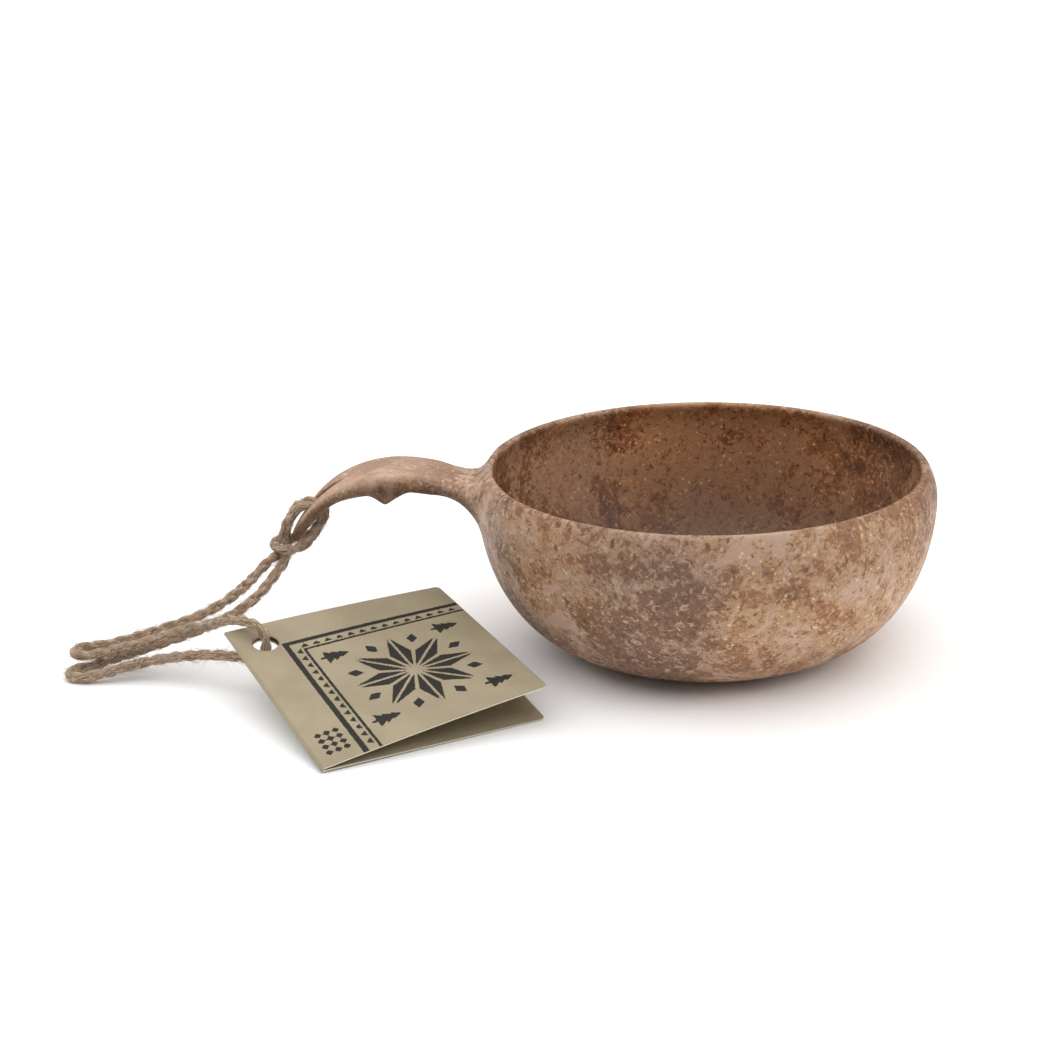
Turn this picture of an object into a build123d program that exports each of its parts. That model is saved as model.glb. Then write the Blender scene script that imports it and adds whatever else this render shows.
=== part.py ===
from build123d import *
import os
from math import asin, cos, pi, radians, sin, tan

# A moulded drinking kuksa: a wide bowl with one arched handle, a loop of twine
# hitched through the eye of the handle, and a folded card tag on the loop.
# Frame: origin at the middle of the bowl's flat base, +Z up, handle along -X.

os.makedirs("parts", exist_ok=True)

# ---- bowl ----------------------------------------------------------------
rim_height = 56.0
belly_radius = 70.0
belly_drop = 9.0         # the widest level, below the rim
base_radius = 30.0
base_tuck = 8.0          # the base's tangent ends this far inside the belly
side_lift = 16.0         # the side's tangent ends this far below the widest level
lip_inset = 2.8          # the lip's outside, inside the belly
lip_thickness = 3.0
lip_round = 1.1
wall = 3.6
floor_thickness = 4.5
floor_radius = 27.0
floor_tuck = 7.4         # as base_tuck, for the inside

# ---- handle --------------------------------------------------------------
handle_drop = 0.5        # top of the arch below the rim
arch_thickness = 6.2
handle_width = 22.4
waist_width = 20.8
root_width = 34.0
root_thickness = 15.5
section_round = 0.36     # corner radius of the handle's section, as a share of its thickness
rib_reach = 27.5         # tip line of the finger rib, beyond the belly
rib_depth = 4.6          # below the arch
rib_inner_run = 13.0     # the rib's long flank, towards the bowl
rib_outer_run = 11.0     # its short flank, towards the eye
rib_inset = 1.4          # its ends, inside the handle's sides
rib_sink = 0.6           # the long flank starts this far inside the arch
rib_drop = 1.4           # the short flank ends this far below the arch's middle
rib_sag = 0.9            # the flanks' hollow, about half way along each
rib_round = 1.2

# ---- eye and tip of the handle -------------------------------------------
tip_reach = 57.5         # end of the handle beyond the belly
tip_drop = 24.7          # end of the handle below the arch's top
tip_slope = 66.0         # degrees below level, at the end of the handle
tip_thickness = 3.6
shoulder_width = 18.6
neck_width = 13.6
tip_width = 10.0
eye_slope = 48.0
eye_length = 17.4
eye_width = 8.2
tip_bar = 8.6            # solid stretch between the eye and the end

# ---- twine ---------------------------------------------------------------
twine_diameter = 3.0

# ---- tag -----------------------------------------------------------------
tag_side = 70.0
leaf_thickness = 0.4
hole_center = Vector(-128.77, -51.51, 15.97)  # where the twine holds up the punched corner
crease_foot = 1.1        # height of the crease's other end, which rests on the table
crease_heading = 122.8   # degrees from +X, seen from above
leaf_bank = -0.35        # lower leaf's slope across the crease
leaf_opening = 4.7       # between the leaves
leaf_gap = 0.3           # between the leaves at the crease
hole_from_crease = 8.6
hole_from_edge = 9.8
hole_diameter = 7.8
corner_round = 1.5

# ---- bowl: outer shell ---------------------------------------------------
belly_height = rim_height - belly_drop
lip_radius = belly_radius - lip_inset
with BuildPart() as bowl_blank:
    with BuildSketch(Plane.XZ):
        with BuildLine():
            Line((0, 0), (base_radius, 0))
            Bezier(
                (base_radius, 0),
                (belly_radius - base_tuck, 0),
                (belly_radius, belly_height - side_lift),
                (belly_radius, belly_height),
            )
            Bezier(
                (belly_radius, belly_height),
                (belly_radius, (belly_height + rim_height) / 2),
                (lip_radius, rim_height),
            )
            Line((lip_radius, rim_height), (0, rim_height))
            Line((0, rim_height), (0, 0))
        make_face()
    revolve(axis=Axis.Z)

# ---- bowl: the hollow, cut after the handle is joined on -----------------
inner_lip = lip_radius - lip_thickness
inner_belly = belly_radius - wall
with BuildPart() as bowl_hollow:
    with BuildSketch(Plane.XZ):
        with BuildLine():
            Line((0, floor_thickness), (floor_radius, floor_thickness))
            Bezier(
                (floor_radius, floor_thickness),
                (inner_belly - floor_tuck, floor_thickness),
                (inner_belly, belly_height - side_lift),
                (inner_belly, belly_height),
            )
            Bezier(
                (inner_belly, belly_height),
                (inner_belly, (belly_height + rim_height) / 2),
                (inner_lip, rim_height),
            )
            Line((inner_lip, rim_height), (0, rim_height))
            Line((0, rim_height), (0, floor_thickness))
        make_face()
    revolve(axis=Axis.Z)

# ---- handle --------------------------------------------------------------
# Rounded sections along the arch: x out from the belly, height from the arch's
# top, lean in degrees, width, thickness. The handle leaves the wall below the
# rim, crests level with it and hooks down to the tip.
crest_z = rim_height - handle_drop
half_arch = arch_thickness / 2
stations = [
    (6.0, -12.0, 0, root_width, root_thickness),
    (0.5, -9.7, 8, root_width * 0.8, root_thickness * 0.67),
    (-6.0, -3.0 - half_arch, 14, waist_width + 1.6, arch_thickness),
    (-14.5, -0.9 - half_arch, 9, waist_width, arch_thickness),
    (-25.0, -half_arch, 0, handle_width - 0.6, arch_thickness),
    (-35.0, -1.6 - half_arch, -16, handle_width, arch_thickness - 0.4),
    (-42.6, -7.4, -32, handle_width - 1.0, arch_thickness - 1.8),
    (-49.0, -12.2, -46, shoulder_width, tip_thickness + 0.4),
    (-53.6, -17.9, -57, neck_width, tip_thickness + 0.2),
    (1.9 - tip_reach, 4.1 - tip_drop, 1 - tip_slope, tip_width, tip_thickness),
    (0.6 - tip_reach, 1.3 - tip_drop, -tip_slope, tip_width * 0.74, tip_thickness * 0.88),
    (-tip_reach, -tip_drop, -tip_slope, tip_width * 0.36, tip_thickness * 0.5),
]
with BuildPart() as handle_strap:
    for reach, height, lean, width, thickness in stations:
        center = (reach - belly_radius, 0, crest_z + height)
        outward = (-cos(radians(lean)), 0, sin(radians(lean)))
        with BuildSketch(Plane(origin=center, x_dir=(0, 1, 0), z_dir=outward)):
            RectangleRounded(width, thickness, thickness * section_round)
    loft()

# The finger rib is a ridge across the underside, just outside the arch's top.
rib_x = -(belly_radius + rib_reach)
rib_top = crest_z - half_arch
rib_tip = crest_z - arch_thickness - rib_depth
with BuildPart() as finger_rib:
    with BuildSketch(Plane.XZ):
        with BuildLine():
            Line((rib_x - rib_outer_run, rib_top - rib_drop), (rib_x + rib_inner_run, rib_top + rib_sink))
            Spline(
                (rib_x + rib_inner_run, rib_top + rib_sink),
                (rib_x + rib_inner_run * 0.46, rib_top - half_arch - rib_sag * 0.67),
                (rib_x, rib_tip),
                tangents=((-0.9, -0.75), (-0.7, -0.72)),
            )
            Spline(
                (rib_x, rib_tip),
                (rib_x - rib_outer_run * 0.47, rib_top - half_arch - rib_sag * 1.33),
                (rib_x - rib_outer_run, rib_top - rib_drop),
                tangents=((-0.7, 0.5), (-0.95, 0.9)),
            )
        make_face()
    extrude(amount=handle_width / 2 - rib_inset, both=True)
    fillet(finger_rib.edges().filter_by(Axis.Y).sort_by(Axis.Z)[0], rib_round)

# The eye's plane lies square to the handle, half way along the eye.
eye_along = Vector(-cos(radians(eye_slope)), 0, -sin(radians(eye_slope)))
eye_out = Vector(-sin(radians(eye_slope)), 0, cos(radians(eye_slope)))
nose = Vector(-tip_reach - belly_radius, 0, crest_z - tip_drop)
eye_center = nose - eye_along * (eye_length / 2 + tip_bar)
eye_plane = Plane(origin=eye_center, x_dir=eye_along, z_dir=eye_out)
eye_cut_depth = 2 * arch_thickness + rib_depth
with BuildPart() as eye_cutter:
    with BuildSketch(eye_plane):
        with BuildLine():
            cheek = Spline(
                (-eye_length / 2, 0),
                (-eye_length / 8, eye_width * 0.36),
                (eye_length / 4, eye_width / 2),
                (eye_length / 2, 0),
                tangents=((0.9, 0.43), (0, -1)),
            )
            mirror(cheek, about=Plane.XZ)
        make_face()
    extrude(amount=eye_cut_depth, both=True)

with BuildPart() as kuksa_body:
    add(bowl_blank.part)
    add(handle_strap.part)
    add(finger_rib.part)
    add(eye_cutter.part, mode=Mode.SUBTRACT)
    add(bowl_hollow.part, mode=Mode.SUBTRACT)
    rim_edges = kuksa_body.edges().filter_by(GeomType.CIRCLE).group_by(Axis.Z)[-1]
    fillet(rim_edges, lip_round)
kuksa_body.part.label = "kuksa_body"
export_step(kuksa_body.part, "parts/kuksa_body.step")

# ---- twine ---------------------------------------------------------------
# One closed loop, hitched round the bar between the eye and the end of the
# handle. Both ends of the route meet in the middle of the bight, which crosses
# over the two legs just beyond the end of the handle.
tip_along = Vector(-cos(radians(tip_slope)), 0, -sin(radians(tip_slope)))
tip_out = Vector(-sin(radians(tip_slope)), 0, cos(radians(tip_slope)))


def at_tip(along, across, out):
    """A point given along the handle past its end, across it, and out of its top."""
    return nose + tip_along * along + Vector(0, across, 0) + tip_out * out


def hitch_side(side):
    """Half of the hitch, from the middle of the bight to the leg, on side +1 or -1."""
    return [
        at_tip(3.6, side * 0.1, 5.4),
        at_tip(3.6, side * 2.5, 5.4),
        at_tip(3.0, side * 4.9, 3.6),
        at_tip(1.5, side * 5.4, -0.6),
        at_tip(-2.0, side * 4.3, -3.9),
        at_tip(-7.0, side * 2.6, -5.0),
        at_tip(-12.0, side * 2.2, -5.4),
        at_tip(-13.6, side * 1.9, -0.9),
        at_tip(-11.0, side * 2.0, 3.3),
        at_tip(-6.0, side * 2.1, 4.2),
        at_tip(-0.1, side * 2.0, 4.3),
        at_tip(2.6, side * 1.9, 1.5),
    ]


far_leg = [
    at_tip(5.4, -0.2, 1.6),
    (-134.9, -5.6, 26.4),
    (-139.9, -12.6, 21.6),
    (-148.2, -20.6, 16.3),
    (-159.6, -25.6, 12.6),
    (-171.9, -28.2, 9.4),
    (-181.0, -29.4, 7.2),
    (-186.3, -29.6, 6.4),
    (-189.8, -29.9, 6.2),
    (-191.5, -31.7, 6.1),
    (-191.4, -34.2, 6.0),
    (-189.4, -36.0, 6.0),
    (-185.0, -36.6, 6.4),
    (-178.0, -36.7, 8.0),
    (-167.3, -36.9, 11.4),
    (-156.0, -36.6, 14.8),
    (-147.3, -38.6, 17.8),
    (-140.8, -43.0, 20.8),
    (-136.0, -47.3, 22.3),
    (-131.6, -50.7, 22.2),
    (-129.1, -51.9, 20.4),
    (-128.5, -51.7, 17.4),
]
near_leg = [
    at_tip(5.4, -3.9, 0.3),
    (-131.6, -7.5, 24.0),
    (-135.7, -15.6, 19.5),
    (-141.6, -22.9, 15.7),
    (-149.5, -27.4, 12.9),
    (-159.0, -30.4, 10.0),
    (-170.6, -32.6, 6.7),
    (-180.8, -34.2, 3.7),
    (-186.0, -35.2, 2.2),
    (-189.5, -36.2, 1.8),
    (-191.8, -38.1, 1.8),
    (-191.7, -41.0, 1.8),
    (-189.5, -43.0, 1.8),
    (-186.0, -43.4, 1.9),
    (-181.2, -42.6, 2.6),
    (-173.4, -40.6, 4.6),
    (-163.0, -40.4, 7.0),
    (-152.3, -42.6, 9.2),
    (-144.5, -45.6, 10.5),
    (-138.2, -48.5, 11.1),
    (-133.0, -50.2, 11.2),
    (-129.8, -51.0, 12.2),
    (-128.8, -51.3, 14.5),
]
twine_points = [Vector(*p) if isinstance(p, tuple) else p for p in hitch_side(1) + far_leg]
twine_points += [Vector(*p) if isinstance(p, tuple) else p for p in reversed(hitch_side(-1) + near_leg)]


def bend_radii(points):
    """The radius at each inner point: 0.45 of the shorter run over tan(half the turn)."""
    radii = []
    for before, here, after in zip(points, points[1:], points[2:]):
        run_in = here - before
        run_out = after - here
        half_turn = radians(run_in.get_angle(run_out)) / 2
        radii.append(0.45 * min(run_in.length, run_out.length) / tan(half_turn))
    return radii


twine_radii = bend_radii(twine_points)
print("twine bend radii:", [round(radius, 1) for radius in twine_radii])
with BuildPart() as twine:
    with BuildLine() as twine_route:
        FilletPolyline(*twine_points, radius=twine_radii)
    with BuildSketch(Plane(origin=twine_points[0], z_dir=twine_points[1] - twine_points[0])):
        Circle(twine_diameter / 2)
    sweep(path=twine_route.line)
twine_length = sum(edge.length for edge in twine_route.edges())
section_area = pi * twine_diameter**2 / 4
print("twine length:", round(twine_length, 1))
print("twine volume over section times length:", round(twine.part.volume / section_area / twine_length, 4))
twine.part.label = "twine"
export_step(twine.part, "parts/twine.step")

# ---- tag -----------------------------------------------------------------
# Two square leaves that meet at a crease. The crease climbs from the table to
# the punched corner, which the twine holds up. The lower leaf rests on the
# table along its front edge and the upper leaf stands a little open.
heading = radians(crease_heading)
hole_along = tag_side - hole_from_edge
rise = asin((hole_center.Z - crease_foot) / hole_along)
crease_dir = Vector(cos(heading) * cos(rise), sin(heading) * cos(rise), sin(rise))
level_side = Vector(sin(heading), -cos(heading), 0)
crease_up = level_side.cross(crease_dir)
crease_near = hole_center - crease_dir * hole_along - level_side * hole_from_crease
leaves = [
    ("tag_lower_leaf", leaf_bank, -leaf_gap / 2 - leaf_thickness),
    ("tag_upper_leaf", leaf_bank + leaf_opening, leaf_gap / 2),
]
for leaf_name, bank, lift in leaves:
    across = level_side * cos(radians(bank)) + crease_up * sin(radians(bank))
    leaf_plane = Plane(origin=crease_near, x_dir=across, z_dir=across.cross(crease_dir))
    with BuildPart() as leaf:
        with BuildSketch(leaf_plane.offset(lift)):
            with Locations((tag_side / 2, tag_side / 2)):
                outline = Rectangle(tag_side, tag_side)
            fillet(outline.vertices().sort_by(Axis.X)[-2:], corner_round)
            with Locations((hole_from_crease, hole_along)):
                Circle(hole_diameter / 2, mode=Mode.SUBTRACT)
        extrude(amount=leaf_thickness)
    leaf.part.label = leaf_name
    export_step(leaf.part, f"parts/{leaf_name}.step")
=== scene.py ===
from math import cos, pi, radians, sin, sqrt

import bpy
import numpy as np
from mathutils import Matrix, Vector
from mathutils.bvhtree import BVHTree


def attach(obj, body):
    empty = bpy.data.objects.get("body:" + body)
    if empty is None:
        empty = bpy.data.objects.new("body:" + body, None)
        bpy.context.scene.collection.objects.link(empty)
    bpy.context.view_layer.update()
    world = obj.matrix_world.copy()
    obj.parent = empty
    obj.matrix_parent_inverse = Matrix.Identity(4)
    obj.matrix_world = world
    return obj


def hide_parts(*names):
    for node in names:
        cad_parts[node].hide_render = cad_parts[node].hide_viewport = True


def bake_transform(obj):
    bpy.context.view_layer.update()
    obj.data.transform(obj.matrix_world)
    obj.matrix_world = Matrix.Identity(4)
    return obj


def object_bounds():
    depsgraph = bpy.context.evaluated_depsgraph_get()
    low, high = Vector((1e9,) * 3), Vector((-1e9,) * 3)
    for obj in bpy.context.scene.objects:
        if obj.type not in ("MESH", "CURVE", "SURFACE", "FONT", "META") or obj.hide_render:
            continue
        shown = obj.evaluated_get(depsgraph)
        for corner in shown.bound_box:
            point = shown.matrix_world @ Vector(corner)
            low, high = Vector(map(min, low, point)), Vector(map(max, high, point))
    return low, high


# The looks of a moulded kuksa with a twine loop and a folded card tag, built
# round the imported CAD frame. Metres, +Z up, handle along -X.

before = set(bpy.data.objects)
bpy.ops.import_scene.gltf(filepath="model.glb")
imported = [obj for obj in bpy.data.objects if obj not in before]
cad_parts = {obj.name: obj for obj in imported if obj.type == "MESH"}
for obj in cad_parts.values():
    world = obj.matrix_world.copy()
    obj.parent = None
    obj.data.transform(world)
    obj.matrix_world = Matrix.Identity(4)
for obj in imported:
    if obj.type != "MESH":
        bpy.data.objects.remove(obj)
cad_low, cad_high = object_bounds()
MM = 0.001
scene = bpy.context.scene
rng = np.random.default_rng(41)


# ---- small helpers ---------------------------------------------------------
def srgb(red, green, blue):
    """A screen colour of 0 to 255 as the linear colour that a shader takes."""
    channels = []
    for value in (red, green, blue):
        share = value / 255
        channels.append(share / 12.92 if share <= 0.04045 else ((share + 0.055) / 1.055) ** 2.4)
    return (*channels, 1.0)


def smoothstep(value, low, high):
    """0 at low and 1 at high, eased between them. low may be the larger one."""
    share = np.clip((value - low) / (high - low), 0, 1)
    return share * share * (3 - 2 * share)


def add_mesh(name, points, faces, material, smooth=True):
    """A new object made of these points and faces."""
    mesh = bpy.data.meshes.new(name)
    mesh.from_pydata([tuple(p) for p in points], [], [tuple(f) for f in faces])
    mesh.validate()
    if smooth:
        mesh.polygons.foreach_set("use_smooth", [True] * len(mesh.polygons))
    mesh.materials.append(material)
    piece = bpy.data.objects.new(name, mesh)
    scene.collection.objects.link(piece)
    return piece


def set_attribute(piece, name, values):
    """A named value at each vertex: a number, or three for a vector."""
    values = np.asarray(values, np.float32)
    if values.ndim == 1:
        attribute = piece.data.attributes.new(name, "FLOAT", "POINT")
        attribute.data.foreach_set("value", values)
    else:
        attribute = piece.data.attributes.new(name, "FLOAT_VECTOR", "POINT")
        attribute.data.foreach_set("vector", values.ravel())


def vertex_array(mesh, what="co"):
    """The places or normals of a mesh's vertices, one row each."""
    values = np.zeros(len(mesh.vertices) * 3, np.float32)
    mesh.vertices.foreach_get(what, values)
    return values.reshape(-1, 3).astype(float)


# ---- shader helpers --------------------------------------------------------
class Shader:
    """A material being wired: each call adds a node and returns its output."""

    def __init__(self, name):
        self.material = bpy.data.materials.new(name)
        self.material.use_nodes = True
        self.nodes = self.material.node_tree.nodes
        self.links = self.material.node_tree.links
        self.surface = self.nodes["Principled BSDF"]

    def feed(self, socket, value):
        if isinstance(value, bpy.types.NodeSocket):
            self.links.new(value, socket)
        else:
            socket.default_value = value

    def attribute(self, name, output="Fac"):
        node = self.nodes.new("ShaderNodeAttribute")
        node.attribute_name = name
        return node.outputs[output]

    def place(self, stretch=(1, 1, 1)):
        """Object coordinates, scaled along each axis."""
        coordinates = self.nodes.new("ShaderNodeTexCoord").outputs["Object"]
        return self.scaled(coordinates, stretch)

    def scaled(self, vector, stretch):
        node = self.nodes.new("ShaderNodeMapping")
        self.feed(node.inputs["Vector"], vector)
        node.inputs["Scale"].default_value = stretch
        return node.outputs["Vector"]

    def noise(self, vector, scale, detail=4, rough=0.55, warp=0.0):
        node = self.nodes.new("ShaderNodeTexNoise")
        self.feed(node.inputs["Vector"], vector)
        node.inputs["Scale"].default_value = scale
        node.inputs["Detail"].default_value = detail
        node.inputs["Roughness"].default_value = rough
        node.inputs["Distortion"].default_value = warp
        return node.outputs["Fac"]

    def cells(self, vector, scale):
        """Distance to the nearest of some scattered points."""
        node = self.nodes.new("ShaderNodeTexVoronoi")
        self.feed(node.inputs["Vector"], vector)
        node.inputs["Scale"].default_value = scale
        return node.outputs["Distance"]

    def band(self, value, low, high, to_low=0.0, to_high=1.0):
        """value moved from low..high to to_low..to_high, smoothly, and held there."""
        node = self.nodes.new("ShaderNodeMapRange")
        node.interpolation_type = "SMOOTHSTEP"
        self.feed(node.inputs["Value"], value)
        limits = {"From Min": low, "From Max": high, "To Min": to_low, "To Max": to_high}
        for socket, number in limits.items():
            node.inputs[socket].default_value = number
        return node.outputs["Result"]

    def math(self, operation, first, second=0.0):
        node = self.nodes.new("ShaderNodeMath")
        node.operation = operation
        self.feed(node.inputs[0], first)
        self.feed(node.inputs[1], second)
        return node.outputs[0]

    def mix(self, share, first, second):
        node = self.nodes.new("ShaderNodeMix")
        node.data_type = "RGBA"
        self.feed(node.inputs["Factor"], share)
        self.feed(node.inputs["A"], first)
        self.feed(node.inputs["B"], second)
        return node.outputs["Result"]

    def bump(self, height, depth):
        node = self.nodes.new("ShaderNodeBump")
        node.inputs["Distance"].default_value = depth
        self.feed(node.inputs["Height"], height)
        self.links.new(node.outputs["Normal"], self.surface.inputs["Normal"])

    def finish(self, colour, roughness, **constants):
        """Wires the surface and returns the material."""
        self.feed(self.surface.inputs["Base Color"], colour)
        self.feed(self.surface.inputs["Roughness"], roughness)
        for name, value in constants.items():
            self.surface.inputs[name.replace("_", " ")].default_value = value
        return self.material


# ---- camera ------------------------------------------------------------------
def make_camera():
    """The photograph's angle: a little above the rim, level with the handle's side."""
    distance, height = 0.700, 0.28027
    pitch, yaw, roll = radians(19.191), radians(-4.543), radians(-1.294)
    forward = Vector((sin(yaw) * cos(pitch), cos(yaw) * cos(pitch), -sin(pitch)))
    level = Vector((cos(yaw), -sin(yaw), 0))
    upright = level.cross(forward)
    right = cos(roll) * level + sin(roll) * upright
    up = cos(roll) * upright - sin(roll) * level
    data = bpy.data.cameras.new("camera")
    data.sensor_width = 36
    data.lens = 82.46
    data.clip_start, data.clip_end = 0.01, 50
    camera = bpy.data.objects.new("camera", data)
    scene.collection.objects.link(camera)
    camera.matrix_world = Matrix((
        (right.x, up.x, -forward.x, 0),
        (right.y, up.y, -forward.y, -distance),
        (right.z, up.z, -forward.z, height),
        (0, 0, 0, 1),
    ))
    scene.camera = camera


# ---- twine ---------------------------------------------------------------------
NOSE = Vector((-127.5, 0, 30.8))
SLOPE = radians(66)
ALONG = Vector((-cos(SLOPE), 0, -sin(SLOPE)))
OUT = Vector((-sin(SLOPE), 0, cos(SLOPE)))


def at_tip(along, across, out):
    """In millimetres: along the handle past its end, across it, and out of its top."""
    return NOSE + ALONG * along + Vector((0, across, 0)) + OUT * out


def hitch_side(side):
    """Half of the hitch, from the middle of the bight to the leg, on side +1 or -1."""
    return [
        at_tip(3.6, side * 0.1, 5.4),
        at_tip(3.6, side * 2.5, 5.4),
        at_tip(3.0, side * 4.9, 3.6),
        at_tip(1.5, side * 5.4, -0.6),
        at_tip(-2.0, side * 4.3, -3.9),
        at_tip(-7.0, side * 2.6, -5.0),
        at_tip(-12.0, side * 2.2, -5.4),
        at_tip(-13.6, side * 1.9, -0.9),
        at_tip(-11.0, side * 2.0, 3.3),
        at_tip(-6.0, side * 2.1, 4.2),
        at_tip(-0.1, side * 2.0, 4.3),
        at_tip(2.6, side * 1.9, 1.5),
    ]


FAR_LEG = [
    at_tip(5.4, -0.2, 1.6),
    (-134.9, -5.6, 26.4),
    (-139.9, -12.6, 21.6),
    (-148.2, -20.6, 16.3),
    (-159.6, -25.6, 12.6),
    (-171.9, -28.2, 9.4),
    (-181.0, -29.4, 7.2),
    (-186.3, -29.6, 6.4),
    (-189.8, -29.9, 6.2),
    (-191.5, -31.7, 6.1),
    (-191.4, -34.2, 6.0),
    (-189.4, -36.0, 6.0),
    (-185.0, -36.6, 6.4),
    (-178.0, -36.7, 8.0),
    (-167.3, -36.9, 11.4),
    (-156.0, -36.6, 14.8),
    (-147.3, -38.6, 17.8),
    (-140.8, -43.0, 20.8),
    (-136.0, -47.3, 22.3),
    (-131.6, -50.7, 22.2),
    (-129.1, -51.9, 20.4),
    (-128.5, -51.7, 17.4),
]
NEAR_LEG = [
    at_tip(5.4, -3.9, 0.3),
    (-131.6, -7.5, 24.0),
    (-135.7, -15.6, 19.5),
    (-141.6, -22.9, 15.7),
    (-149.5, -27.4, 12.9),
    (-159.0, -30.4, 10.0),
    (-170.6, -32.6, 6.7),
    (-180.8, -34.2, 3.7),
    (-186.0, -35.2, 2.2),
    (-189.5, -36.2, 1.8),
    (-191.8, -38.1, 1.8),
    (-191.7, -41.0, 1.8),
    (-189.5, -43.0, 1.8),
    (-186.0, -43.4, 1.9),
    (-181.2, -42.6, 2.6),
    (-173.4, -40.6, 4.6),
    (-163.0, -40.4, 7.0),
    (-152.3, -42.6, 9.2),
    (-144.5, -45.6, 10.5),
    (-138.2, -48.5, 11.1),
    (-133.0, -50.2, 11.2),
    (-129.8, -51.0, 12.2),
    (-128.8, -51.3, 14.5),
]


def twine_line():
    """Points read from the smooth spline whose control points are the route's."""
    route = hitch_side(1) + FAR_LEG + list(reversed(hitch_side(-1) + NEAR_LEG))
    curve = bpy.data.curves.new("twine_route", "CURVE")
    curve.dimensions = "3D"
    spline = curve.splines.new("NURBS")
    spline.points.add(len(route) - 1)
    for knot, place in zip(spline.points, route):
        knot.co = (*(Vector(place) * MM), 1)
    spline.order_u = 3
    spline.use_endpoint_u = True
    spline.resolution_u = 16
    guide = bpy.data.objects.new("twine_route", curve)
    scene.collection.objects.link(guide)
    bpy.context.view_layer.update()
    line = bpy.data.meshes.new_from_object(guide)
    points = vertex_array(line)
    bpy.data.objects.remove(guide)
    bpy.data.meshes.remove(line)
    return points


def even_line(points, step):
    """The same line with its points a step apart, and the length at each."""
    runs = np.linalg.norm(np.diff(points, axis=0), axis=1)
    length = np.concatenate([[0], np.cumsum(runs)])
    count = int(length[-1] / step)
    stations = np.linspace(0, length[-1], count + 1)
    return np.stack([np.interp(stations, length, points[:, k]) for k in range(3)], axis=1), stations


def carried_frames(line):
    """Two directions square to the line at each point, carried along it without twist."""
    tangents = np.gradient(line, axis=0)
    tangents /= np.linalg.norm(tangents, axis=1)[:, None]
    side = np.cross(tangents[0], (0.3, 0.1, 1.0))
    sides = []
    for tangent in tangents:
        side = side - tangent * (side @ tangent)
        side = side / np.linalg.norm(side)
        sides.append(side)
    sides = np.array(sides)
    return tangents, sides, np.cross(tangents, sides)


def wave_noise(stations, lengths, seed, strength=1.0):
    """A smooth random wave along the twine, made of a few sines."""
    draws = np.random.default_rng(seed)
    total = np.zeros_like(stations)
    for length in lengths:
        total += np.sin(stations * 2 * pi / (length * draws.uniform(0.85, 1.15)) + draws.uniform(0, 2 * pi))
    return total * strength / len(lengths)


PLIES = 2
LAY_LENGTH = 10.5 * MM       # one turn of the plies round each other
PLY_RADIUS = 1.06 * MM
PLY_OFFSET = 0.55 * MM       # from the twine's middle to a ply's
PLY_SIDES = 26
PLY_STEP = 0.32 * MM
FIBRE_LAY = 13 * MM          # one turn of the fibres round their ply
HAIRS = 5200
HAIR_STEPS = 5
HAIR_ROOT = 1.35 * MM        # from the twine's middle
TAG_CLEAR = 11 * MM          # hairs this near the punched hole are cropped
CROPPED_HAIR = 0.8 * MM
HAIR_OFF_FLOOR = 0.1 * MM
HAIR_OFF_BODY = 0.3 * MM     # from a hair's tip


def ply_centres(line, stations, frames, ply):
    """The middle of one ply, which winds round the twine's line."""
    _, side, other = frames
    wander = wave_noise(stations, (31 * MM, 17 * MM, 7 * MM), 7, 0.7)
    turn = stations * 2 * pi / LAY_LENGTH + ply * 2 * pi / PLIES + wander
    offset = PLY_OFFSET * (1 + wave_noise(stations, (5 * MM, 2.3 * MM), 20 + ply, 0.10))
    return line + (side * np.cos(turn)[:, None] + other * np.sin(turn)[:, None]) * offset[:, None]


def make_twine(route, material):
    """Two grooved plies laid round each other along the route."""
    line, stations = even_line(route, PLY_STEP)
    frames = carried_frames(line)
    points, faces, strands = [], [], []
    for ply in range(PLIES):
        centres = ply_centres(line, stations, frames, ply)
        _, side, other = carried_frames(centres)
        swell = wave_noise(stations, (13 * MM, 6 * MM, 3.1 * MM, 1.7 * MM), 30 + ply, 0.13)
        radius = PLY_RADIUS * (1 + swell)
        twist = -stations * 2 * pi / FIBRE_LAY
        start = len(points)
        for i, centre in enumerate(centres):
            for k in range(PLY_SIDES):
                angle = 2 * pi * k / PLY_SIDES
                lie = angle - twist[i]
                groove = 0.055 * sin(5 * lie + 1.3 * ply) + 0.045 * sin(9 * lie + 2.1 + stations[i] * 900)
                reach = radius[i] * (1 + groove)
                points.append(centre + (side[i] * cos(angle) + other[i] * sin(angle)) * reach)
                strands.append((cos(lie), sin(lie), stations[i] / (6 * MM) + ply * 40))
        for i in range(len(centres) - 1):
            for k in range(PLY_SIDES):
                following = (k + 1) % PLY_SIDES
                low, high = start + i * PLY_SIDES, start + (i + 1) * PLY_SIDES
                faces.append((low + k, low + following, high + following, high + k))
        for end in (0, len(centres) - 1):
            ring = [start + end * PLY_SIDES + k for k in range(PLY_SIDES)]
            faces.append(ring if end else ring[::-1])
    twine = add_mesh("twine_plies", points, faces, material)
    set_attribute(twine, "strand", strands)
    return twine, line, stations, frames


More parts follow.
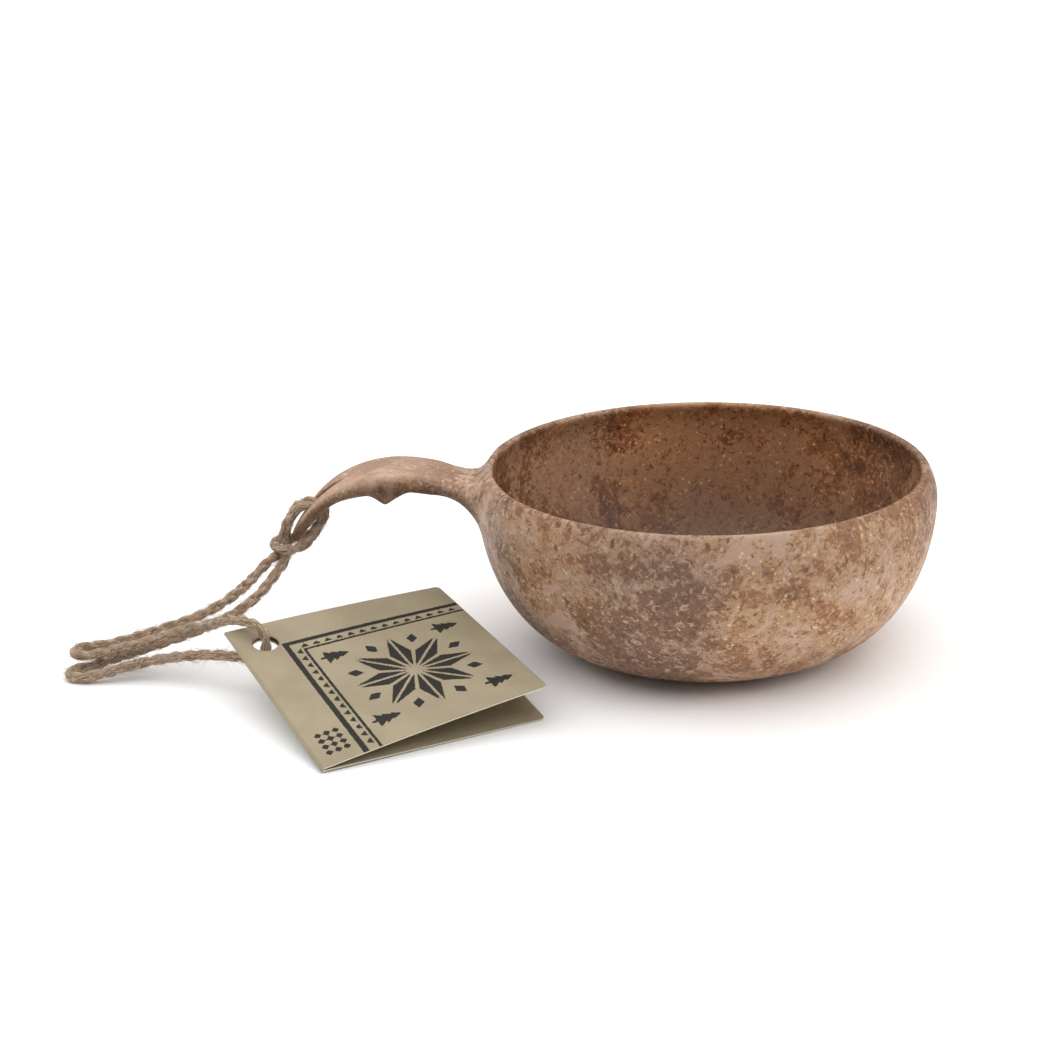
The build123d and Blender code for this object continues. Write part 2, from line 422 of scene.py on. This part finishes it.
def make_fuzz(line, stations, frames, material, body_tree):
    """Fine loose fibres: most lie along the plies, some stand off the twine."""
    tangents, side, other = frames
    hole = np.array(HOLE_CENTRE) * MM
    points, faces = [], []
    for _ in range(HAIRS):
        i = int(rng.integers(3, len(line) - 3))
        angle = rng.uniform(0, 2 * pi)
        outward = side[i] * cos(angle) + other[i] * sin(angle)
        round_it = np.cross(tangents[i], outward)
        root = line[i] + outward * HAIR_ROOT
        length = rng.gamma(2.2, 1.1) * MM + 0.8 * MM
        lift = rng.uniform(0.05, 0.36) if rng.random() < 0.7 else rng.uniform(0.4, 1.0)
        if np.linalg.norm(root - hole) < TAG_CLEAR:
            length, lift = CROPPED_HAIR, 0.02
        way = tangents[i] * rng.choice((-1, 1)) + round_it * rng.uniform(-0.6, 0.6) + outward * lift
        way /= np.linalg.norm(way)
        bend = rng.normal(0, 0.28, 3) + outward * (-0.25 * lift)
        thick = rng.uniform(0.030, 0.062) * MM
        path = [root]
        for _ in range(HAIR_STEPS):
            way = way + bend / HAIR_STEPS + rng.normal(0, 0.07, 3)
            way /= np.linalg.norm(way)
            path.append(path[-1] + way * length / HAIR_STEPS)
        if min(p[2] for p in path) < HAIR_OFF_FLOOR:
            continue
        if body_tree.find_nearest(Vector(path[-1]))[3] < HAIR_OFF_BODY:
            continue
        start = len(points)
        across = np.cross(way, outward)
        across /= np.linalg.norm(across)
        over = np.cross(way, across)
        for step, place in enumerate(path):
            slim = thick * (1 - 0.75 * step / HAIR_STEPS)
            for k in range(3):
                a = 2 * pi * k / 3
                points.append(place + (across * cos(a) + over * sin(a)) * slim)
        for step in range(HAIR_STEPS):
            for k in range(3):
                low, high = start + step * 3, start + step * 3 + 3
                faces.append((low + k, low + (k + 1) % 3, high + (k + 1) % 3, high + k))
        faces.append((start + 2, start + 1, start))
        end = start + HAIR_STEPS * 3
        faces.append((end, end + 1, end + 2))
    return add_mesh("twine_fuzz", points, faces, material, smooth=False)


def jute_material():
    """Jute in fine pale and dark fibres that run along each ply."""
    shader = Shader("jute_ply")
    strand = shader.attribute("strand", "Vector")
    fibre = shader.noise(strand, 3.4, detail=3, rough=0.6)
    fine = shader.noise(strand, 9.0, detail=2, rough=0.6)
    patch = shader.noise(shader.place(), 160, detail=2)
    colour = shader.mix(shader.band(fibre, 0.38, 0.62), srgb(104, 80, 60), srgb(200, 174, 148))
    colour = shader.mix(shader.band(patch, 0.52, 0.72, 0, 0.55), colour, srgb(168, 126, 96))
    colour = shader.mix(shader.band(fine, 0.56, 0.70, 0, 0.7), colour, srgb(228, 210, 186))
    colour = shader.mix(shader.band(fine, 0.30, 0.44, 0.8, 0), colour, srgb(78, 57, 40))
    height = shader.math("ADD", fibre, shader.math("MULTIPLY", fine, 0.5))
    shader.bump(height, 0.40 * MM)
    return shader.finish(colour, 0.86, Specular_IOR_Level=0.2, Sheen_Weight=0.25, Sheen_Roughness=0.5)


def fuzz_material():
    """The loose fibres, paler than the plies."""
    shader = Shader("jute_fibre")
    tint = shader.noise(shader.place(), 300, detail=2)
    colour = shader.mix(shader.band(tint, 0.35, 0.65), srgb(158, 134, 108), srgb(214, 196, 172))
    return shader.finish(colour, 0.8, Specular_IOR_Level=0.25)


# ---- the moulded bowl and handle ---------------------------------------------
def smoothed(points, edges, weight, rounds, pull=0.5):
    """Moves each point towards the mean of its neighbours, by its own weight."""
    counts = np.bincount(edges.ravel(), minlength=len(points)).clip(1)[:, None]
    for _ in range(rounds):
        total = np.zeros_like(points)
        for k in range(3):
            total[:, k] = np.bincount(edges[:, 0], points[edges[:, 1], k], len(points))
            total[:, k] += np.bincount(edges[:, 1], points[edges[:, 0], k], len(points))
        points = points + (total / counts - points) * (pull * weight)[:, None]
    return points


BODY_VOXEL = 0.62 * MM
BODY_ROUNDS = 3              # smoothing everywhere, to take the voxels' steps away
ROOT_FROM_AXIS = 71 * MM     # the root is where the handle meets the wall
ROOT_BELOW_RIM = 9 * MM
ROOT_REACH = np.array((15, 22, 17)) * MM
ROOT_ROUNDS = 130
HANDLE_ROUNDS = 7


def make_body(material):
    """The CAD body in fine even faces, its handle's root flowed into the wall."""
    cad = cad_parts["kuksa_body"]
    mesh = cad.data.copy()
    mesh.name = "kuksa_shell"
    body = bpy.data.objects.new("kuksa_shell", mesh)
    scene.collection.objects.link(body)
    remesh = body.modifiers.new("even", "REMESH")
    remesh.mode = "VOXEL"
    remesh.voxel_size = BODY_VOXEL
    graph = bpy.context.evaluated_depsgraph_get()
    fine = bpy.data.meshes.new_from_object(body.evaluated_get(graph))
    body.modifiers.clear()
    body.data = fine
    fine.name = "kuksa_shell"
    points = vertex_array(fine)
    edges = np.zeros(len(fine.edges) * 2, np.int64)
    fine.edges.foreach_get("vertices", edges)
    edges = edges.reshape(-1, 2)
    points = smoothed(points, edges, np.ones(len(points)), BODY_ROUNDS)
    rim_z = cad_high.z
    radial = np.hypot(points[:, 0], points[:, 1])
    root = (-ROOT_FROM_AXIS, 0, rim_z - ROOT_BELOW_RIM)
    from_root = np.linalg.norm((points - root) / ROOT_REACH, axis=1)
    outside = smoothstep(radial, 66.6 * MM, 68.2 * MM)
    points = smoothed(points, edges, outside * smoothstep(from_root, 1.0, 0.45), ROOT_ROUNDS)
    handle_side = points[:, 0] < 0
    on_handle = smoothstep(radial, 74 * MM, 80 * MM) * handle_side
    points = smoothed(points, edges, on_handle, HANDLE_ROUNDS)
    fine.vertices.foreach_set("co", points.astype(np.float32).ravel())
    fine.update()
    normals = vertex_array(fine, "normal")
    towards_axis = -(normals[:, :2] * points[:, :2]).sum(1) / radial.clip(1e-6)
    facing_in = smoothstep(towards_axis + 0.6 * normals[:, 2], -0.15, 0.35)
    height = points[:, 2]
    inside = facing_in * smoothstep(radial, 68 * MM, 66.5 * MM)
    inside *= smoothstep(height, rim_z, rim_z - 1.2 * MM)
    inside *= height > 3 * MM
    # The composite is paler on top of the handle. Painted shade darkens the
    # colour on the handle's flanks, low inside the bowl and in the band below the rim.
    upward = normals[:, 2]
    crest = smoothstep(radial, 73 * MM, 86 * MM) * handle_side * smoothstep(upward, 0.0, 0.6)
    flank_shade = smoothstep(radial, 69 * MM, 75 * MM) * handle_side * smoothstep(upward, 0.45, -0.25)
    low_inside_shade = inside * smoothstep(height, 46 * MM, 16 * MM)
    bowl_side = smoothstep(-points[:, 0], 72 * MM, 60 * MM)
    under_rim_shade = (1 - inside) * smoothstep(height, 26 * MM, 46 * MM) * bowl_side
    # dark holds the painted shade of these three places.
    dark = np.maximum.reduce([0.66 * flank_shade, 0.62 * low_inside_shade, 0.27 * under_rim_shade])
    fine.polygons.foreach_set("use_smooth", [True] * len(fine.polygons))
    fine.materials.clear()
    fine.materials.append(material)
    set_attribute(body, "inside", inside)
    set_attribute(body, "crest", crest)
    set_attribute(body, "dark", dark)
    return body


def composite_material():
    """Wood-fibre composite: grainy brown ground, pale smooth patches and golden fibres."""
    shader = Shader("kuksa_composite")
    place = shader.place()
    # inside picks the darker inside copies of the colours, painted shade of the bowl's hollow.
    inside = shader.attribute("inside")
    crest = shader.attribute("crest")
    zone = shader.noise(place, 26, detail=3, rough=0.5, warp=0.4)
    warm = shader.noise(shader.place((1.0, 1.2, 0.8)), 17, detail=2, rough=0.5)
    cloud = shader.noise(place, 70, detail=4, rough=0.62, warp=0.7)
    grain = shader.noise(place, 520, detail=5, rough=0.72, warp=0.9)
    curd = shader.noise(place, 230, detail=5, rough=0.68, warp=1.2)
    speck = shader.cells(place, 430)

    def summed(*parts):
        """The sum of some fields, each of them taken about 0.5 and multiplied by its share."""
        total = 0.5
        for field, share in parts:
            centred = shader.math("SUBTRACT", field, 0.5)
            total = shader.math("ADD", total, shader.math("MULTIPLY", centred, share))
        return total

    def inside_shaded(outer, inner):
        """One colour outside and a darker one inside the bowl; the darker inside copy is painted shade of
        the hollow.
        """
        return shader.mix(inside, srgb(*outer), srgb(*inner))

    warmth = shader.band(warm, 0.42, 0.60)
    cool_brown = inside_shaded((128, 95, 74), (118, 81, 56))
    warm_brown = inside_shaded((150, 104, 69), (142, 88, 50))
    cool_tan = inside_shaded((168, 137, 115), (156, 118, 90))
    warm_tan = inside_shaded((182, 144, 108), (172, 122, 84))
    brown = shader.mix(warmth, cool_brown, warm_brown)
    tan = shader.mix(warmth, cool_tan, warm_tan)
    ragged = summed((cloud, 1.0), (curd, 0.75), (zone, 0.9))
    colour = shader.mix(shader.band(ragged, 0.48, 0.57), brown, tan)
    deep = summed((cloud, -0.9), (curd, 0.9), (zone, -0.6))
    blotch = inside_shaded((104, 74, 54), (84, 54, 34))
    colour = shader.mix(shader.band(deep, 0.60, 0.68, 0, 0.75), colour, blotch)

    grainy = shader.band(grain, 0.36, 0.47, 0.85, 0)
    grainy = shader.math("MULTIPLY", grainy, shader.band(crest, 0, 1, 1.0, 0.35))
    colour = shader.mix(grainy, colour, inside_shaded((94, 65, 46), (70, 43, 25)))
    fleck = inside_shaded((201, 170, 143), (188, 143, 102))
    colour = shader.mix(shader.band(grain, 0.55, 0.61, 0, 0.75), colour, fleck)

    pale = summed((zone, 0.9), (cloud, 1.3), (curd, 0.55), (grain, 0.25))
    patch = shader.band(pale, 0.65, 0.70, 0, 0.80)
    # Fewer pale patches inside the bowl, as part of its painted shade.
    patch = shader.math("MULTIPLY", patch, shader.band(inside, 0, 1, 1, 0.35))
    colour = shader.mix(patch, colour, inside_shaded((190, 159, 140), (146, 110, 86)))
    edge = shader.math("ABSOLUTE", shader.math("SUBTRACT", pale, 0.642))
    colour = shader.mix(shader.band(edge, 0.0, 0.02, 0.4, 0), colour, inside_shaded((108, 76, 55), (78, 49, 29)))

    plain = shader.mix(shader.band(cloud, 0.38, 0.62), srgb(152, 122, 102), srgb(174, 145, 126))
    colour = shader.mix(shader.math("MULTIPLY", crest, 0.62), colour, plain)

    gathered = shader.band(curd, 0.47, 0.56)
    gathered = shader.math("MULTIPLY", gathered, shader.band(warm, 0.40, 0.55, 0.35, 1))
    golden = shader.math("MULTIPLY", shader.band(speck, 0.12, 0.28, 0.9, 0), gathered)
    colour = shader.mix(golden, colour, inside_shaded((226, 196, 152), (224, 176, 112)))

    # Painted shade: darker colour on the handle's flanks, low inside the bowl and below the rim.
    colour = shader.mix(shader.attribute("dark"), colour, inside_shaded((78, 52, 35), (62, 38, 22)))

    fine_relief = shader.math("MULTIPLY", grain, 0.8)
    relief = shader.math("ADD", fine_relief, shader.math("MULTIPLY", curd, 0.6))
    shader.bump(relief, 0.20 * MM)
    roughness = shader.band(grain, 0.3, 0.7, 0.60, 0.46)
    return shader.finish(colour, roughness, Specular_IOR_Level=0.38)


# ---- tag ---------------------------------------------------------------------
# Millimetres and degrees. u runs across a leaf from the crease, and v along it
# from the corner on the table to the one that the twine holds up.
SIDE = 70.0
LEAF = 0.4
HOLE_CENTRE = Vector((-128.77, -51.51, 15.97))
CREASE_FOOT = 1.1
HEADING = radians(122.8)
HOLE_FROM_CREASE = 8.6
HOLE_FROM_EDGE = 9.8
HOLE_RADIUS = 3.9
CORNER = 1.5                 # radius of the rounded corners
GAP = 0.3                    # between the leaves at the crease
# How far each leaf is turned about the crease, as in the CAD, and how much
# further where v is 0 and where v is SIDE.
BANKS = {"tag_lower_leaf": -0.35, "tag_upper_leaf": 4.35}
TWISTS = {"tag_lower_leaf": (0.0, -3.0), "tag_upper_leaf": (4.3, -4.0)}
HOLE_ALONG = SIDE - HOLE_FROM_EDGE
RISE_SINE = (HOLE_CENTRE.z - CREASE_FOOT) / HOLE_ALONG
RISE_COSINE = sqrt(1 - RISE_SINE**2)
CREASE_DIR = Vector((cos(HEADING) * RISE_COSINE, sin(HEADING) * RISE_COSINE, RISE_SINE))
LEVEL_SIDE = Vector((sin(HEADING), -cos(HEADING), 0))
CREASE_UP = LEVEL_SIDE.cross(CREASE_DIR)
CREASE_NEAR = HOLE_CENTRE - CREASE_DIR * HOLE_ALONG - LEVEL_SIDE * HOLE_FROM_CREASE
GRID = 0.5                   # a leaf's faces
NO_INK = 9.0                 # further from any print than the ink reaches


def leaf_axes(name):
    """The across direction and the normal of a leaf's plane."""
    bank = radians(BANKS[name])
    across = LEVEL_SIDE * cos(bank) + CREASE_UP * sin(bank)
    return across, across.cross(CREASE_DIR)


def curl(name, u, v):
    """How far a leaf stands off its plane at (u, v): it is twisted and a little bowed."""
    across, along = u / SIDE, v / SIDE
    front, back = TWISTS[name]
    turned = u * np.tan(np.radians(front + (back - front) * along))
    if name == "tag_upper_leaf":
        return turned + 0.5 * np.sin(pi * across) * (0.6 + 0.4 * np.cos(2 * pi * along))
    return turned + 0.15 * np.sin(pi * across) * np.sin(pi * along)


def leaf_sheet():
    """A flat leaf's grid with a round hole and two rounded corners: places and faces."""
    block = 7.0  # half the side of the square round the hole that is meshed in rings
    low_u, high_u = HOLE_FROM_CREASE - block, HOLE_FROM_CREASE + block
    low_v, high_v = HOLE_ALONG - block, HOLE_ALONG + block

    def ruled(low, high):
        before = np.linspace(0, low, round(low / GRID) + 1)
        middle = np.linspace(low, high, round((high - low) / GRID) + 1)
        edge = SIDE - CORNER
        after = np.linspace(high, edge, round((edge - high) / GRID) + 1)
        last = np.linspace(edge, SIDE, 7)
        return np.concatenate([before, middle[1:], after[1:], last[1:]])

    us = ruled(low_u, high_u)
    first = np.linspace(0, CORNER, 7)
    vs = np.concatenate([first, ruled(low_v, high_v)[round(CORNER / GRID) + 1:]])
    places = []
    index = {}

    def add(u, v):
        key = (round(u, 4), round(v, 4))
        if key not in index:
            index[key] = len(places)
            places.append((u, v))
        return index[key]

    def in_block(u, v):
        return low_u < u < high_u and low_v < v < high_v

    faces = []
    for i in range(len(us) - 1):
        for j in range(len(vs) - 1):
            if in_block((us[i] + us[i + 1]) / 2, (vs[j] + vs[j + 1]) / 2):
                continue
            corners = ((us[i], vs[j]), (us[i + 1], vs[j]), (us[i + 1], vs[j + 1]), (us[i], vs[j + 1]))
            faces.append([add(*c) for c in corners])
    block_u = [u for u in us if low_u - 1e-6 <= u <= high_u + 1e-6]
    block_v = [v for v in vs if low_v - 1e-6 <= v <= high_v + 1e-6]
    around = [(u, low_v) for u in block_u[:-1]] + [(high_u, v) for v in block_v[:-1]]
    around += [(u, high_v) for u in reversed(block_u[1:])] + [(low_u, v) for v in reversed(block_v[1:])]
    layers = 8
    rings = []
    for layer in range(layers + 1):
        share = layer / layers
        ring = []
        for u, v in around:
            away = np.array((u - HOLE_FROM_CREASE, v - HOLE_ALONG))
            edge = away / np.linalg.norm(away) * HOLE_RADIUS
            place = edge * (1 - share) + away * share
            ring.append(add(HOLE_FROM_CREASE + place[0], HOLE_ALONG + place[1]))
        rings.append(ring)
    for inner, outer in zip(rings, rings[1:]):
        for k in range(len(inner)):
            following = (k + 1) % len(inner)
            faces.append([inner[k], outer[k], outer[following], inner[following]])
    places = np.array(places)
    for v_corner in (0, SIDE):
        sign = 1 if v_corner else -1
        p = (places[:, 0] - (SIDE - CORNER)) / CORNER
        q = sign * (places[:, 1] - (v_corner - sign * CORNER)) / CORNER
        near = (p > 0) & (q > 0)
        round_p = p * np.sqrt(1 - q**2 / 2)
        round_q = q * np.sqrt(1 - p**2 / 2)
        places[near, 0] = SIDE - CORNER + CORNER * round_p[near]
        places[near, 1] = v_corner - sign * CORNER + sign * CORNER * round_q[near]
    return places, faces


def make_leaf(node, name, material, cut_material, print_distance=None):
    """One leaf as a thin solid, with its cut edges in a second material."""
    places, faces = leaf_sheet()
    across, normal = (np.array(v) for v in leaf_axes(node))
    lift = GAP / 2 + LEAF / 2
    if node == "tag_lower_leaf":
        lift = -lift
    u, v = places[:, 0], places[:, 1]
    middle = np.array(CREASE_NEAR) + u[:, None] * across + v[:, None] * np.array(CREASE_DIR)
    middle = middle + normal * (lift + curl(node, u, v))[:, None]
    points = np.concatenate([middle + normal * LEAF / 2, middle - normal * LEAF / 2]) * MM
    count = len(places)
    walls = {}  # the edges that only one face has, in the order they are met
    for face in faces:
        for a, b in zip(face, face[1:] + face[:1]):
            if (b, a) in walls:
                del walls[(b, a)]
            else:
                walls[(a, b)] = True
    solid = [list(f) for f in faces] + [[count + i for i in reversed(f)] for f in faces]
    solid += [[b, a, count + a, count + b] for a, b in walls]
    leaf = add_mesh(name, points, solid, material, smooth=False)
    cut = [i >= 2 * len(faces) for i in range(len(solid))]
    leaf.data.polygons.foreach_set("use_smooth", [not is_cut for is_cut in cut])
    leaf.data.materials.append(cut_material)
    leaf.data.polygons.foreach_set("material_index", [int(is_cut) for is_cut in cut])
    on_top = np.concatenate([np.ones(count), np.zeros(count)])
    ink = np.full(2 * count, NO_INK)
    if print_distance is not None:
        ink[:count] = print_distance(places)
    set_attribute(leaf, "ink", ink)
    set_attribute(leaf, "card", np.column_stack([np.tile(u, 2), np.tile(v, 2), on_top]))
    return leaf


def make_crease(material):
    """The card's bend: a half tube between the two leaves, closed at its ends."""
    steps, lengths = 10, 142
    points, faces, cards = [], [], []
    lower_across, lower_up = (np.array(v) for v in leaf_axes("tag_lower_leaf"))
    upper_across, upper_up = (np.array(v) for v in leaf_axes("tag_upper_leaf"))
    inner, outer = GAP / 2, GAP / 2 + LEAF
    for j in range(lengths + 1):
        v = SIDE * j / lengths
        origin = np.array(CREASE_NEAR) + v * np.array(CREASE_DIR)
        for radius in (outer, inner):
            for k in range(steps + 1):
                share = k / steps
                angle = -pi / 2 + pi * share
                across = lower_across * (1 - share) + upper_across * share
                up = lower_up * (1 - share) + upper_up * share
                place = origin - across * radius * cos(angle) + up * radius * sin(angle)
                points.append(place * MM)
                cards.append((-radius, v, 1))
    ring = 2 * (steps + 1)
    for j in range(lengths):
        for k in range(steps):
            low, high = j * ring + k, (j + 1) * ring + k
            faces.append((low, low + 1, high + 1, high))
            low, high = low + steps + 1, high + steps + 1
            faces.append((low + 1, low, high, high + 1))
        for k in (0, steps):
            low, high = j * ring + k, (j + 1) * ring + k
            quad = (low, high, high + steps + 1, low + steps + 1)
            faces.append(quad if k == 0 else quad[::-1])
    for j in (0, lengths):
        for k in range(steps):
            low = j * ring + k
            quad = (low, low + steps + 1, low + steps + 2, low + 1)
            faces.append(quad if j == 0 else quad[::-1])
    crease = add_mesh("tag_crease", points, faces, material)
    set_attribute(crease, "ink", np.full(len(points), NO_INK))
    set_attribute(crease, "card", cards)
    return crease


def polygon_distance(places, corners):
    """Signed distance in millimetres from each place to a polygon, negative inside."""
    corners = np.array(corners, float)
    nearest = np.full(len(places), 1e9)
    inside = np.zeros(len(places), bool)
    for a, b in zip(corners, np.roll(corners, -1, axis=0)):
        along = b - a
        away = places - a
        share = np.clip((away @ along) / (along @ along), 0, 1)
        nearest = np.minimum(nearest, np.linalg.norm(away - share[:, None] * along, axis=1))
        crosses = (a[1] > places[:, 1]) != (b[1] > places[:, 1])
        at = a[0] + (places[:, 1] - a[1]) / (b[1] - a[1] if b[1] != a[1] else 1e-9) * (b[0] - a[0])
        inside ^= crosses & (places[:, 0] < at)
    return np.where(inside, -nearest, nearest)


def folk_print(places):
    """Distance to the printed pattern: a star, firs, a toothed frame and diamonds."""
    centre = np.array((42.0, 28.5))
    distance = np.full(len(places), NO_INK)

    def stamp(corners):
        nonlocal distance
        distance = np.minimum(distance, polygon_distance(places, corners))

    def placed(shape, middle, turn=0.0, size=1.0):
        c, s = cos(turn) * size, sin(turn) * size
        return [(middle[0] + x * c - y * s, middle[1] + x * s + y * c) for x, y in shape]

    petal = [(1.9, 0.4), (9.8, 3.4), (18.8, 0.4)]
    for k in range(8):
        turn = k * pi / 4
        stamp(placed(petal, centre, turn))
        stamp(placed([(x, -y) for x, y in petal], centre, turn))
    for k in range(8):
        turn = (k + 0.5) * pi / 4
        stamp(placed([(14.6, 0), (17.2, 1.7), (19.8, 0), (17.2, -1.7)], centre, turn))
    for reach, thick in ((24.2, 0.45), (28.6, 0.85)):
        for turn in (pi / 2, pi):
            left, right = reach - thick, reach + thick
            line = [(left, -reach - 9), (right, -reach - 9), (right, right), (left, right)]
            mirrored = [(x, -y) for x, y in line] if turn == pi else line
            stamp(placed(mirrored, centre, turn))
    teeth = 14
    for k in range(teeth):
        along = 23.4 - 3.7 * k
        tooth = [(25.3, along - 1.45), (25.3, along + 1.45), (27.1, along)]
        stamp(placed([(x, -y) for x, y in tooth], centre, pi))
        stamp(placed(tooth, centre, pi / 2))
    fir = [(-0.5, -4.2), (0.5, -4.2), (0.5, -2.6), (3.3, -2.6)]
    fir += [(1.3, -0.2), (2.5, -0.2), (0.9, 2.0), (1.7, 2.0)]
    fir += [(0, 5.0)] + [(-x, y) for x, y in reversed(fir)]
    for across, along in ((-17.8, 17.6), (17.8, 17.6), (-17.8, -17.6), (17.8, -17.6)):
        stamp(placed(fir, centre + (across, along), 1.5 * pi))
    diamond = [(-1.25, 0), (0, 1.25), (1.25, 0), (0, -1.25)]
    for row in range(4):
        for column in range(3):
            stamp(placed(diamond, (4.4 + 2.7 * column, 5.2 + 2.7 * row)))
    return distance


def card_material():
    """Khaki card with faint fibres, and dark ink where the ink attribute is below zero."""
    shader = Shader("tag_card")
    card = shader.attribute("card", "Vector")
    tone = shader.noise(card, 0.06, detail=3)
    fibre = shader.noise(shader.scaled(card, (1, 0.35, 1)), 2.6, detail=4, rough=0.65)
    colour = shader.mix(shader.band(tone, 0.35, 0.65), srgb(146, 134, 110), srgb(155, 143, 119))
    colour = shader.mix(shader.band(fibre, 0.55, 0.75, 0, 0.30), colour, srgb(126, 113, 89))
    ink = shader.attribute("ink")
    ragged = shader.noise(card, 1.7, detail=4, rough=0.7)
    fray = shader.math("MULTIPLY", shader.math("SUBTRACT", ragged, 0.5), 0.85)
    printed = shader.band(shader.math("ADD", ink, fray), -0.06, 0.06, 1, 0)
    worn = shader.band(shader.noise(card, 3.1, detail=3, rough=0.7), 0.27, 0.36, 0.35, 1)
    printed = shader.math("MULTIPLY", printed, worn)
    colour = shader.mix(printed, colour, srgb(38, 36, 31))
    shader.bump(fibre, 0.03 * MM)
    roughness = shader.band(printed, 0, 1, 0.66, 0.72)
    return shader.finish(colour, roughness, Specular_IOR_Level=0.2)


def cut_edge_material():
    """The card's pale core, which shows where it is cut."""
    shader = Shader("tag_card_edge")
    fibre = shader.noise(shader.attribute("card", "Vector"), 4.0, detail=3, rough=0.7)
    colour = shader.mix(shader.band(fibre, 0.35, 0.65), srgb(198, 188, 166), srgb(222, 214, 196))
    return shader.finish(colour, 0.8, Specular_IOR_Level=0.2)


# ---- floor and light -----------------------------------------------------------
def make_floor():
    """White paper, far wider than the view."""
    shader = Shader("floor_paper")
    drift = shader.noise(shader.place(), 1.5, detail=1)
    colour = shader.mix(drift, (0.90, 0.90, 0.90, 1), (0.92, 0.92, 0.92, 1))
    material = shader.finish(colour, 0.9, Specular_IOR_Level=0.1)
    half = 6.0
    corners = [(-half, -half, 0), (half, -half, 0), (half, half, 0), (-half, half, 0)]
    floor = add_mesh("floor", corners, [(0, 1, 2, 3)], material, smooth=False)


def area_light(name, place, target, size, watts, colour=(1, 1, 1)):
    """A round lamp of a given width that faces its target."""
    data = bpy.data.lights.new(name, "AREA")
    data.shape = "DISK"
    data.size = size
    data.energy = watts
    data.color = colour
    lamp = bpy.data.objects.new(name, data)
    scene.collection.objects.link(lamp)
    lamp.location = place
    lamp.rotation_mode = "QUATERNION"
    lamp.rotation_quaternion = (Vector(target) - Vector(place)).to_track_quat("-Z", "Y")


def make_light():
    """An even studio: a wide ceiling, a warm lamp on the right and a weaker one on the left."""
    world = bpy.data.worlds.new("studio")
    scene.world = world
    world.use_nodes = True
    sky = world.node_tree.nodes["Background"]
    sky.inputs["Color"].default_value = (1, 1, 1, 1)
    sky.inputs["Strength"].default_value = 0.30
    area_light("ceiling", (0, 0.6, 2.4), (0, 0.6, 0), 6.5, 166)
    area_light("softbox_right", (0.85, -0.15, 0.45), (0, 0, 0.03), 0.5, 3.0, (1.0, 0.96, 0.91))
    area_light("softbox_left", (-0.85, 0.25, 0.42), (-0.02, 0, 0.03), 0.5, 2.0)
    scene.view_settings.view_transform = "Standard"


# ---- build ---------------------------------------------------------------------
make_camera()
body = make_body(composite_material())
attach(body, "kuksa")
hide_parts("kuksa_body")
body_tree = BVHTree.FromPolygons(
    [v.co for v in body.data.vertices], [tuple(p.vertices) for p in body.data.polygons]
)

route = twine_line()
twine, line, stations, frames = make_twine(route, jute_material())
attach(twine, "kuksa")
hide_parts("twine")
fuzz = make_fuzz(line, stations, frames, fuzz_material(), body_tree)
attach(fuzz, "kuksa")

card = card_material()
cut_edge = cut_edge_material()
lower = make_leaf("tag_lower_leaf", "tag_card_lower", card, cut_edge)
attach(lower, "tag")
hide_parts("tag_lower_leaf")
upper = make_leaf("tag_upper_leaf", "tag_card_upper", card, cut_edge, folk_print)
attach(upper, "tag_cover")
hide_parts("tag_upper_leaf")
crease = make_crease(card)
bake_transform(crease)

make_floor()
make_light()
